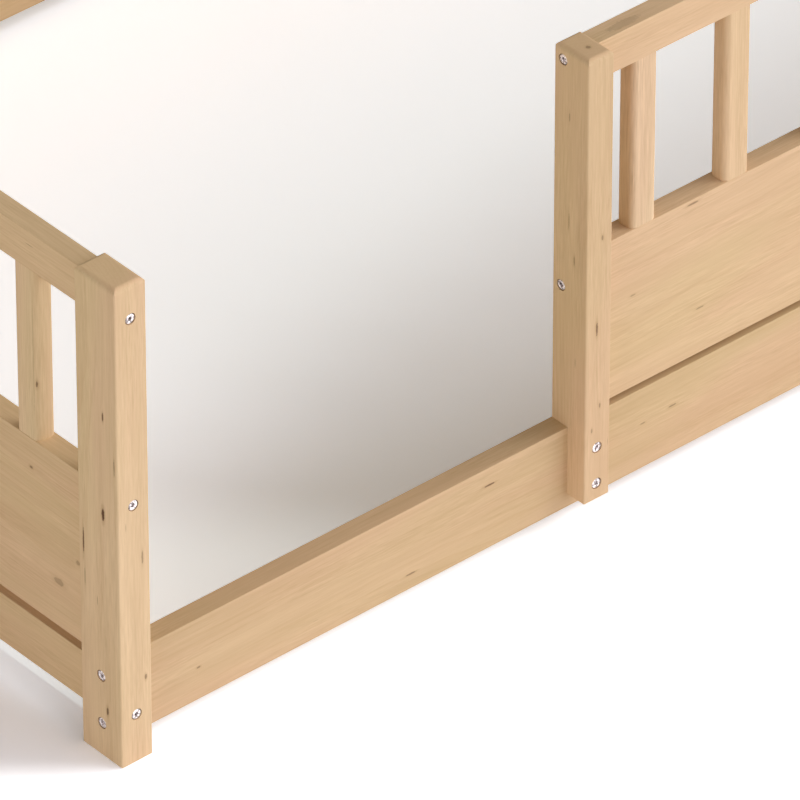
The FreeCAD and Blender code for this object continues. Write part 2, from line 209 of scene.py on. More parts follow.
# How often each pattern changes in a metre of the log: along the grain, and in both directions across it.
KNOT_CELLS = (2.6, 11.0, 11.0)
WANDER_RATE = (1.3, 5.0, 5.0)
RIPPLE_RATE = (9.0, 24.0, 24.0)
FADING_RATE = (3.0, 26.0, 26.0)
BAND_RATE = (4.0, 60.0, 60.0)
FIBRE_RATE = (16.0, 520.0, 520.0)
FLECK_RATE = (42.0, 640.0, 640.0)
PATCH_RATE = (7.0, 34.0, 34.0)
DASH_CELLS = (22.0, 130.0, 130.0)
DRIFT_RATE = (2.2, 13.0, 13.0)
UNEVEN_RATE = 90.0                             # for each metre of a year's radius

WANDER_REACH = (0.0, 0.034, 0.034)             # metres in which the heart moves to and fro
RIPPLE_REACH = (0.0, 0.0045, 0.0045)
UNEVEN_REACH = 1.3                             # years that a line can be shifted
SUMMER_POWER = 2.6                             # a high power keeps the dark wood to the end of its year
SUMMER_FADED = 0.25                            # how strong a year's line is where it has almost faded out
SMALL_KNOT_RADIUS = (0.0022, 0.0058)           # metres
SMALL_KNOT_SHAPE = (0.62, 1.0, 1.0)            # a number under 1 makes it longer on that side
DASH_SHAPE = (7.0, 14.0, 14.0)                 # a number over 1 makes it smaller than its cell
DASH_CHANCE = 0.07
FIBRE_SHADE, BAND_SHADE, FLECK_SHADE = 0.045, 0.075, 0.095     # how much lighter and darker each goes
FLECK_FADED = 0.35                             # the part of the flecks that is left between the patches
DASH_DEPTH, KNOT_RIM_DEPTH, KNOT_HEART_DEPTH = 0.5, 0.36, 0.95     # how strongly each colour covers

print("spring wood", rounded(PINE_EARLY[:3]))

# %% Pine: the node group
def make_pine_group():
    tree, given = new_group("pine_log", "ShaderNodeTree", (
        ("Log Place", "Vector", (0, 0, 0)),        # metres in the log, x along the grain
        ("Year Width", "Float", 0.0032),
        ("Year Strength", "Float", 0.3),
        ("Streak Strength", "Float", 1.0),
        ("End Grain", "Float", 0.0),               # 1 where the face is cut across the grain
        ("Knot Chance", "Float", 0.3),
        ("Knot Mask", "Float", 0.0),               # knots at listed places
        ("Knot Rim", "Float", 0.0),
        ("Knot Bend", "Float", 0.0),
    ), (("Color", "Color"), ("Roughness", "Float"), ("Height", "Float")))
    place = given["Log Place"]

    # Small knots here and there: one in some cells of a coarse, stretched pattern.
    cells = reckon(tree, "MULTIPLY", place, KNOT_CELLS)
    pattern = put(tree, "ShaderNodeTexVoronoi", {"Vector": cells, "Scale": 1.0, "Randomness": 0.85})
    away = reckon(tree, "SUBTRACT", cells, pattern.outputs["Position"])
    away = reckon(tree, "DIVIDE", away, KNOT_CELLS)
    lot = put(tree, "ShaderNodeSeparateColor", {0: pattern.outputs["Color"]}).outputs
    knot_radius = remap(tree, lot[1], 0.0, 1.0, *SMALL_KNOT_RADIUS, smooth=False)
    knot_far = reckon(tree, "LENGTH", reckon(tree, "MULTIPLY", away, SMALL_KNOT_SHAPE))
    knot_far = calc(tree, "DIVIDE", knot_far, knot_radius)
    chosen = calc(tree, "LESS_THAN", lot[0], given["Knot Chance"])
    seeded_mask = calc(tree, "MULTIPLY", remap(tree, knot_far, 1.05, 0.7), chosen)
    seeded_rim = calc(tree, "MULTIPLY", remap(tree, knot_far, 2.6, 1.0), chosen)
    bend = calc(tree, "MULTIPLY", knot_far, knot_far)
    bend = calc(tree, "EXPONENT", calc(tree, "MULTIPLY", bend, -0.12))
    bend = calc(tree, "MULTIPLY", calc(tree, "MULTIPLY", bend, knot_radius), chosen)

    # The years: distance from the heart, which wanders slowly along the log.
    wander = stretched_noise(tree, place, WANDER_RATE, 2.0, 0.45)["Color"]
    wander = reckon(tree, "MULTIPLY", reckon(tree, "SUBTRACT", wander, MIDDLE_OF_NOISE), WANDER_REACH)
    ripple = stretched_noise(tree, place, RIPPLE_RATE, 2.0)["Color"]
    ripple = reckon(tree, "MULTIPLY", reckon(tree, "SUBTRACT", ripple, MIDDLE_OF_NOISE), RIPPLE_REACH)
    wander = reckon(tree, "ADD", wander, ripple)
    across = reckon(tree, "MULTIPLY", reckon(tree, "ADD", place, wander), (0.0, 1.0, 1.0))
    radius = calc(tree, "ADD", reckon(tree, "LENGTH", across), bend)
    radius = calc(tree, "ADD", radius, given["Knot Bend"])
    uneven = put(tree, "ShaderNodeTexNoise", {"W": radius, "Scale": UNEVEN_RATE, "Detail": 1.0},
                 noise_dimensions="1D").outputs[0]
    years = calc(tree, "DIVIDE", radius, given["Year Width"])
    years = calc(tree, "ADD", years, calc(tree, "MULTIPLY", uneven, UNEVEN_REACH))
    season = calc(tree, "FRACT", years)
    summer = calc(tree, "POWER", season, SUMMER_POWER)
    summer = calc(tree, "MULTIPLY", summer, remap(tree, season, 1.0, 0.9))
    fading = stretched_noise(tree, place, FADING_RATE, 2.0)[0]
    summer = calc(tree, "MULTIPLY", summer, remap(tree, fading, 0.32, 0.68, SUMMER_FADED, 1.0))
    summer = calc(tree, "MULTIPLY", summer, given["Year Strength"])

    # Broad bands a finger wide, fibres that are very long and thin, and short flecks in patches.
    bands = stretched_noise(tree, place, BAND_RATE, 3.0, 0.55)[0]
    fibres = stretched_noise(tree, place, FIBRE_RATE, 3.0, 0.6)[0]
    flecks = stretched_noise(tree, place, FLECK_RATE, 2.0, 0.6)[0]
    patches = stretched_noise(tree, place, PATCH_RATE, 1.0)[0]

    # Resin streaks: short dark dashes, in a few cells of a long thin pattern.
    dash_cells = reckon(tree, "MULTIPLY", place, DASH_CELLS)
    dashes = put(tree, "ShaderNodeTexVoronoi", {"Vector": dash_cells, "Scale": 1.0})
    dash_far = reckon(tree, "SUBTRACT", dash_cells, dashes.outputs["Position"])
    dash_far = reckon(tree, "LENGTH", reckon(tree, "MULTIPLY", dash_far, DASH_SHAPE))
    dash_lot = put(tree, "ShaderNodeSeparateColor", {0: dashes.outputs["Color"]}).outputs
    dash_chosen = calc(tree, "LESS_THAN", dash_lot[0], DASH_CHANCE)
    dash = calc(tree, "MULTIPLY", remap(tree, dash_far, 1.1, 0.4), dash_chosen)

    # Slow drift of colour along and across the board, then the years.
    drift = stretched_noise(tree, place, DRIFT_RATE, 2.0)["Color"]
    drift_parts = put(tree, "ShaderNodeSeparateColor", {0: drift}).outputs
    colour = blend(tree, remap(tree, drift_parts[0], 0.42, 0.6), PINE_EARLY, PINE_ROSY)
    colour = blend(tree, remap(tree, drift_parts[1], 0.46, 0.64), colour, PINE_STRAW)
    colour = blend(tree, summer, colour, PINE_LATE)

    # Fibres, bands and flecks make it lighter and darker, less so on end grain.
    fibre_shade = remap(tree, fibres, *NOISE_SPAN, -FIBRE_SHADE, FIBRE_SHADE, smooth=False)
    band_shade = remap(tree, bands, *NOISE_SPAN, -BAND_SHADE, BAND_SHADE, smooth=False)
    fleck_shade = remap(tree, flecks, *NOISE_SPAN, -FLECK_SHADE, FLECK_SHADE, smooth=False)
    fleck_shade = calc(tree, "MULTIPLY", fleck_shade, remap(tree, patches, 0.4, 0.62, FLECK_FADED, 1.0))
    shade = calc(tree, "ADD", calc(tree, "ADD", fibre_shade, band_shade), fleck_shade)
    shade = calc(tree, "MULTIPLY", shade, given["Streak Strength"])
    end_grain = remap(tree, given["End Grain"], 0.5, 0.9)
    side_grain = remap(tree, end_grain, 0.0, 1.0, 1.0, END_STREAKS, smooth=False)
    shade = calc(tree, "MULTIPLY", shade, side_grain)
    tint = reckon(tree, "MULTIPLY_ADD", shade, STREAK_TINT, (1.0, 1.0, 1.0))
    tint = reckon(tree, "MULTIPLY_ADD", end_grain, END_TINT, tint)
    colour = blend(tree, 1.0, colour, tint, "MULTIPLY")

    # Resin and knots lie over all of that.
    colour = blend(tree, calc(tree, "MULTIPLY", dash, DASH_DEPTH), colour, PINE_RESIN)
    rim = calc(tree, "MAXIMUM", seeded_rim, given["Knot Rim"])
    core = calc(tree, "MAXIMUM", seeded_mask, given["Knot Mask"])
    colour = blend(tree, calc(tree, "MULTIPLY", rim, KNOT_RIM_DEPTH), colour, KNOT_RIM)
    colour = blend(tree, calc(tree, "MULTIPLY", core, KNOT_HEART_DEPTH), colour, KNOT_HEART)

    roughness = remap(tree, fibres, 0.2, 0.8, *PINE_ROUGHNESS, smooth=False)
    roughness = calc(tree, "SUBTRACT", roughness, calc(tree, "MULTIPLY", core, 0.12))
    height = calc(tree, "ADD", calc(tree, "MULTIPLY", fibres, 0.5), calc(tree, "MULTIPLY", summer, 0.8))
    height = calc(tree, "MULTIPLY", height, side_grain)
    height = calc(tree, "SUBTRACT", height, calc(tree, "MULTIPLY", core, 0.8))
    put(tree, "NodeGroupOutput", {"Color": colour, "Roughness": roughness, "Height": height})
    return tree


pine_log = make_pine_group()
print("pine group:", len(pine_log.nodes), "nodes")

# %% [markdown]
# ## Knots in their real places
# A small branch leaves a knot where it came through the face of a board: a dark oval or a thin dash, with
# the grain bending round it. The photograph shows a few on each board, so those are put where they are,
# each one an ellipsoid at a place on the board, given by its three half sizes in metres. Distance to its
# centre, measured in those half sizes, makes the dark heart, the soft rim and the bend in the grain.

# %% Knots: the node group
KNOT_BEND = 0.0016                             # metres that a knot pushes the years aside
RAGGED_RATE = 420.0                            # how often its edge changes in a metre
RAGGED_EDGE = 0.22                             # how far its edge goes in and out, in half sizes


def make_knot_group():
    tree, given = new_group("pine_knot", "ShaderNodeTree", (
        ("Place", "Vector", (0, 0, 0)), ("Middle", "Vector", (0, 0, 0)),
        ("Half Sizes", "Vector", (0.002, 0.002, 0.002)), ("Strength", "Float", 1.0),
        ("Mask", "Float", 0.0), ("Rim", "Float", 0.0), ("Bend", "Float", 0.0),
    ), (("Mask", "Float"), ("Rim", "Float"), ("Bend", "Float")))
    ragged = put(tree, "ShaderNodeTexNoise", {
        "Vector": given["Place"], "Scale": RAGGED_RATE, "Detail": 1.0}).outputs[0]
    ragged = remap(tree, ragged, 0.2, 0.8, -RAGGED_EDGE, RAGGED_EDGE, smooth=False)
    away = reckon(tree, "SUBTRACT", given["Place"], given["Middle"])
    far = reckon(tree, "LENGTH", reckon(tree, "DIVIDE", away, given["Half Sizes"]))
    edge = calc(tree, "ADD", far, ragged)
    mask = calc(tree, "MULTIPLY", remap(tree, edge, 1.1, 0.75), given["Strength"])
    rim = calc(tree, "MULTIPLY", remap(tree, edge, 2.3, 0.95), given["Strength"])
    bend = calc(tree, "EXPONENT", calc(tree, "MULTIPLY", calc(tree, "MULTIPLY", far, far), -0.10))
    bend = calc(tree, "MULTIPLY", bend, KNOT_BEND)
    put(tree, "NodeGroupOutput", {
        "Mask": calc(tree, "MAXIMUM", mask, given["Mask"]),
        "Rim": calc(tree, "MAXIMUM", rim, given["Rim"]),
        "Bend": calc(tree, "ADD", bend, given["Bend"])})
    return tree


pine_knot = make_knot_group()
print("knot group:", len(pine_knot.nodes), "nodes")

# %% Knots: where they are on each board
KNOT_REACH = 0.004                             # metres that a knot goes into the wood

# The face is the one that the knot shows on: left, front or top. Along is measured from the board's left
# end, or from its front on a left face; up is the height above the floor, or on a top face the distance
# from the front edge. Then come half the knot's size along and up, all in millimetres, and how dark it is.
Knot = namedtuple("Knot", "face along up half_along half_up strength")

KNOTS = {
    "corner_post_front_left": (
        Knot("left", 18.7, 371, 1.0, 4.2, 0.9), Knot("left", 20.3, 266, 1.9, 6.8, 1.0),
        Knot("left", 47.8, 223, 0.9, 14.0, 0.9), Knot("left", 46.6, 185, 0.8, 11.0, 0.35),
        Knot("left", 4.2, 325, 0.8, 9.0, 0.5), Knot("left", 18.7, 52.5, 1.4, 4.4, 0.8),
        Knot("front", 28.3, 87.6, 1.2, 3.0, 0.6), Knot("front", 26.5, 218.6, 1.0, 7.5, 0.45)),
    "gate_post": (
        Knot("left", 24.5, 442, 0.8, 5.0, 0.35), Knot("left", 16.6, 291, 0.8, 5.5, 0.45),
        Knot("left", 24.0, 331, 0.6, 9.0, 0.4), Knot("front", 13.1, 220, 1.1, 7.5, 0.7),
        Knot("front", 18.5, 317, 1.0, 3.0, 0.45), Knot("front", 17.5, 134, 1.0, 3.0, 0.45),
        Knot("front", 8.3, 110, 0.9, 2.6, 0.4), Knot("top", 15.8, 18.8, 2.2, 2.2, 0.45)),
    "left_end_baluster_01": (
        Knot("left", 2.0, 347, 0.8, 4.0, 0.7), Knot("left", 4.5, 375, 0.6, 60.0, 0.14)),
    "left_end_panel": (
        Knot("left", 71.8, 255.3, 2.2, 1.5, 0.6), Knot("left", 36.7, 150.5, 7.0, 3.6, 0.35),
        Knot("left", 9.9, 186, 2.6, 2.4, 0.35)),
    "front_fence_panel": (
        Knot("front", 118.0, 282.2, 7.0, 1.0, 0.55), Knot("front", 46.5, 214.8, 3.5, 0.9, 0.3),
        Knot("front", 128.5, 163.0, 5.0, 0.9, 0.4)),
    "front_base_rail": (
        Knot("front", 407.0, 86.4, 6.2, 1.0, 0.75), Knot("front", 314.0, 33.2, 6.2, 0.9, 0.6),
        Knot("front", 66.8, 52.0, 2.2, 1.0, 0.5), Knot("front", 627.0, 69.2, 4.5, 0.9, 0.5),
        Knot("front", 591.0, 66.4, 2.8, 0.8, 0.4)),
    "front_fence_top_rail": (
        Knot("top", 38.0, 9.0, 20.0, 5.0, 0.2),),
}


def knot_middle_and_size(knot, low, high):
    """A knot's middle and half sizes in metres, from its place on a board between two corners."""
    along, up, half_along, half_up = (value / 1000 for value in knot[1:5])
    if knot.face == "left":
        return (low[0], low[1] + along, up), (KNOT_REACH, half_along, half_up)
    if knot.face == "front":
        return (low[0] + along, low[1], up), (half_along, KNOT_REACH, half_up)
    return (low[0] + along, low[1] + up, high[2]), (half_along, half_up, KNOT_REACH)


print("knots placed by hand:", sum(len(knots) for knots in KNOTS.values()))

# %% [markdown]
# ## One material for each board
# Boards are never all cut from one place in one tree. Each board gets its own material from the same two
# groups: a Mapping node turns the grain along its longest side, and moves the heart of the log to a place
# of its own outside the board. A fixed seed for each board chooses the places, so the result is the same
# each time.
#
# The back fence is one part with many balusters in it. There the pattern also jumps from one baluster to
# the next, so that they don't look like slices of one wide board.

# %% Pine materials: helper
# How one board differs from the rest: its brightness, how deep its colour is, and its streaks' contrast.
# Two brightnesses are partly painted light and shade: the first front baluster is lighter to make up for
# the gate post's shadow on it, and the gate post is darker to offset the left lamp's strong light on it.
Look = namedtuple("Look", "tone depth streaks")
PLAIN = Look(0.0, 1.0, 1.0)
LOOKS = {"front_baluster_01": Look(0.12, 1.0, 1.7), "front_baluster_02": Look(0.04, 1.0, 1.2),
         "front_base_rail": Look(-0.105, 0.9, 1.0), "front_fence_top_rail": Look(0.02, 1.0, 1.0),
         "front_fence_panel": Look(-0.02, 0.96, 1.0), "corner_post_front_left": Look(0.035, 1.0, 1.0),
         "left_end_baluster_01": Look(0.05, 1.0, 1.0), "left_end_baluster_02": Look(0.05, 1.0, 1.0),
         "gate_post": Look(-0.03, 0.94, 1.0)}

GRAIN_TURNS = {"x": (0.0, 0.0, 0.0), "y": (0.0, 0.0, -math.pi / 2), "z": (0.0, math.pi / 2, 0.0)}
LOG_STARTS = (2, 40)                           # metres along the log at which a board may be cut
HEART_DISTANCES = (0.055, 0.14)                # metres from the board's middle to the heart
YEAR_WIDTHS = (0.0026, 0.0042)                 # metres
TONE_SPREAD = 0.02
STICK_JUMP = (-0.86, 0.013, 1.37)              # for each baluster: in pitches along, then metres


def grain_direction(low, high):
    sides = [high[i] - low[i] for i in range(3)]
    return "xyz"[sides.index(max(sides))]


def pine_material(name, low, high, grain, luck, knots, knot_chance, look, stick_pitch=None):
    """The pine of one board, which lies between the corners low and high. luck draws its place in the log.
    A part with many sticks also has a pitch, and then each stick gets a place of its own."""
    material = new_material("pine_" + name)
    tree = material.node_tree
    coordinates = put(tree, "ShaderNodeTexCoord").outputs
    place = coordinates["Object"]
    around = place
    if stick_pitch:
        along = put(tree, "ShaderNodeSeparateXYZ", {0: place}).outputs[0]
        stick = calc(tree, "ROUND", calc(tree, "DIVIDE", calc(tree, "SUBTRACT", along, low[0]), stick_pitch))
        jump = reckon(tree, "MULTIPLY", stick, (STICK_JUMP[0] * stick_pitch, *STICK_JUMP[1:]))
        around = reckon(tree, "ADD", place, jump)
    turn = Euler(GRAIN_TURNS[grain])
    middle = (Vector(low) + Vector(high)) / 2
    swing = luck.uniform(0, 2 * math.pi)
    distance = luck.uniform(*HEART_DISTANCES)
    heart = Vector((luck.uniform(*LOG_STARTS), distance * math.cos(swing), distance * math.sin(swing)))
    shift = heart - turn.to_matrix() @ middle
    log_place = put(tree, "ShaderNodeMapping", {
        "Vector": around, "Location": shift, "Rotation": GRAIN_TURNS[grain]}).outputs[0]
    facing = put(tree, "ShaderNodeSeparateXYZ", {0: coordinates["Normal"]}).outputs["xyz".index(grain)]
    sockets = {"Log Place": log_place, "End Grain": calc(tree, "ABSOLUTE", facing),
               "Year Width": luck.uniform(*YEAR_WIDTHS), "Streak Strength": look.streaks,
               "Knot Chance": knot_chance}
    found = {}
    for knot in knots:
        spot, half_sizes = knot_middle_and_size(knot, low, high)
        found = put(tree, "ShaderNodeGroup", {
            "Place": place, "Middle": spot, "Half Sizes": half_sizes, "Strength": knot.strength, **found},
            node_tree=pine_knot).outputs
        found = {key: found[key] for key in ("Mask", "Rim", "Bend")}
    sockets.update({"Knot " + key: output for key, output in found.items()})
    wood = put(tree, "ShaderNodeGroup", sockets, node_tree=pine_log).outputs
    tone = look.tone + luck.uniform(-TONE_SPREAD, TONE_SPREAD)
    tinted = put(tree, "ShaderNodeHueSaturation", {
        "Color": wood["Color"], "Value": 1.0 + tone, "Saturation": look.depth * (1.0 - tone)}).outputs[0]
    relief = put(tree, "ShaderNodeBump", {"Height": wood["Height"], "Strength": 0.3, "Distance": 0.0003})
    shader = put(tree, "ShaderNodeBsdfPrincipled", {
        "Base Color": tinted, "Roughness": wood["Roughness"], "Normal": relief.outputs[0],
        "Specular IOR Level": 0.13})
    put(tree, "ShaderNodeOutputMaterial", {0: shader.outputs[0]})
    return material


print("pine helper ready")

# %% Pine materials: every board
BACK_FENCE_PITCH = 0.110235                    # metres between the middles of its balusters
FIRST_SEED = 100
KNOT_CHANCE = 0.22
KNOT_CHANCE_BESIDE_PLACED_ONES = 0.04
pine_parts = sorted(name for name, part in bed_parts.items()
                    if any(slot.material and slot.material.name.startswith("pine")
                           for slot in part.material_slots))
seed_of = {name: seed for seed, name in enumerate(pine_parts, FIRST_SEED)}

for name in pine_parts:
    low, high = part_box(name)
    one_stick = name != "back_fence_balusters"
    grain = grain_direction(low, high) if one_stick else "z"
    seen_knots = KNOTS.get(name, ())
    knot_chance = KNOT_CHANCE_BESIDE_PLACED_ONES if seen_knots else KNOT_CHANCE
    material = pine_material(
        name, low, high, grain, random.Random(seed_of[name]), seen_knots, knot_chance,
        LOOKS.get(name, PLAIN), None if one_stick else BACK_FENCE_PITCH)
    for slot in bed_parts[name].material_slots:
        slot.material = material
print("pine boards, posts and balusters:", len(pine_parts))

# %% [markdown]
# ## Zinc on steel, and beech
# The bolts and nuts are bright zinc-plated steel. The plating is not a mirror: it is slightly cloudy and
# blue-white, so its colour and roughness vary a little with a fine noise. The dowels inside the joints are
# plain beech with short flecks.

# %% Metal and beech materials
GRIT_RATE = 9                                  # how much finer the grit is than the clouds
BEECH_RATE = (260.0, 260.0, 1400.0)            # how often its flecks change in a metre
BEECH_PALE = screen_colour(222, 186, 150)
BEECH_DARK = screen_colour(196, 152, 112)


def zinc_material(name, cloud_scale, bright, dull):
    material = new_material(name)
    tree = material.node_tree
    place = put(tree, "ShaderNodeTexCoord").outputs["Object"]
    cloud = put(tree, "ShaderNodeTexNoise", {
        "Vector": place, "Scale": cloud_scale, "Detail": 3.0}).outputs[0]
    grit = put(tree, "ShaderNodeTexNoise", {
        "Vector": place, "Scale": cloud_scale * GRIT_RATE, "Detail": 2.0}).outputs[0]
    colour = blend(tree, remap(tree, cloud, 0.47, 0.6), bright, dull)
    roughness = remap(tree, cloud, 0.3, 0.7, 0.3, 0.45, smooth=False)
    relief = put(tree, "ShaderNodeBump", {"Height": grit, "Strength": 0.15, "Distance": 0.0002})
    shader = put(tree, "ShaderNodeBsdfPrincipled", {
        "Base Color": colour, "Metallic": 0.85, "Roughness": roughness, "Normal": relief.outputs[0]})
    put(tree, "ShaderNodeOutputMaterial", {0: shader.outputs[0]})
    return material


def beech_material():
    material = new_material("beech_dowels")
    tree = material.node_tree
    place = put(tree, "ShaderNodeTexCoord").outputs["Object"]
    flecks = stretched_noise(tree, place, BEECH_RATE, 2.0)[0]
    colour = blend(tree, remap(tree, flecks, 0.4, 0.65), BEECH_PALE, BEECH_DARK)
    roughness = remap(tree, flecks, 0.3, 0.7, 0.5, 0.65)
    relief = put(tree, "ShaderNodeBump", {"Height": flecks, "Strength": 0.2, "Distance": 0.0002})
    shader = put(tree, "ShaderNodeBsdfPrincipled", {
        "Base Color": colour, "Roughness": roughness, "Normal": relief.outputs[0]})
    put(tree, "ShaderNodeOutputMaterial", {0: shader.outputs[0]})
    return material


bolt_zinc = zinc_material("zinc_bolts", 420.0, screen_colour(238, 230, 230), screen_colour(140, 130, 128))
nut_zinc = zinc_material("zinc_nuts", 300.0, screen_colour(214, 214, 214), screen_colour(184, 184, 186))
beech = beech_material()
for name, material in (("barrel_nuts", nut_zinc), ("insert_nuts", nut_zinc), ("wooden_dowels", beech)):
    for slot in bed_parts[name].material_slots:
        slot.material = material
print("metal and beech ready")

# %% [markdown]
# ## The bolts, by Geometry Nodes
# The same bolt shows again and again: a round head with a knurled edge and a hexagon socket, sunk just
# below the wood. It is a turned shape, so it can be spun from a profile. Here a grid does that: one side of
# the grid runs along the profile, from the middle of the socket over the head and down the shank, and the
# other side runs once round. Each grid point is moved to its radius and height, and points of the socket
# are pushed out to a hexagon. The tree then puts one bolt on each point that marks a bolt in the packed
# model, turns it to face outwards and gives it a random turn, because nobody lines up the sockets.

# %% Bolts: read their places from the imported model
END_ZONE = 0.002                               # metres of a bolt that count as its end


def separate_solids(mesh):
    """Groups a mesh's vertices into the solids that they belong to."""
    leader = list(range(len(mesh.vertices)))

    def find(index):
        while leader[index] != index:
            leader[index] = leader[leader[index]]
            index = leader[index]
        return index

    spots = {}
    for vertex in mesh.vertices:
        spot = tuple(round(value, 6) for value in vertex.co)
        leader[find(vertex.index)] = find(spots.setdefault(spot, vertex.index))
    for edge in mesh.edges:
        leader[find(edge.vertices[0])] = find(edge.vertices[1])
    groups = {}
    for vertex in mesh.vertices:
        groups.setdefault(find(vertex.index), []).append(vertex.co.copy())
    return list(groups.values())


def read_bolts(node_name):
    """For each bolt: the middle of its head's face, the direction the head faces, and its length."""
    bolts = []
    for points in separate_solids(bed_parts[node_name].data):
        low = Vector([min(p[i] for p in points) for i in range(3)])
        high = Vector([max(p[i] for p in points) for i in range(3)])
        middle, sides = (low + high) / 2, high - low
        axis = list(sides).index(max(sides))
        ends = {}
        for end in (-1, 1):
            face = (low if end < 0 else high)[axis]
            ends[end] = max(math.hypot(*[(p - middle)[i] for i in range(3) if i != axis])
                            for p in points if abs(p[axis] - face) < END_ZONE)
        outward = Vector((0, 0, 0))
        outward[axis] = -1 if ends[-1] > ends[1] else 1
        head_face = middle.copy()
        head_face[axis] = (low if outward[axis] < 0 else high)[axis]
        bolts.append((head_face, outward, max(sides)))
    return bolts


BOLT_NODES = ("side_bolts", "end_bolts", "gate_post_side_bolts", "gate_post_foot_bolts")
bolts_of = {name: read_bolts(name) for name in BOLT_NODES}
for name, bolts in bolts_of.items():
    print(name, len(bolts), "bolts,", sorted({round(length * 1000, 1) for _, _, length in bolts}), "mm long")

# %% Bolts: the Geometry Nodes tree
SOCKET_DISH = 0.0006                           # metres that the middle of the socket's floor lies deeper
SOCKET_LIP = 0.00025                           # metres under the face where the hexagon ends
TIP_BEVEL = 0.0006                             # metres
STEPS_ROUND = 72
RIDGES = STEPS_ROUND / 2                       # of the knurl
SIXTH = math.pi / 3                            # of a turn: one side of the hexagon
WELD_DISTANCE = 0.00001                        # metres


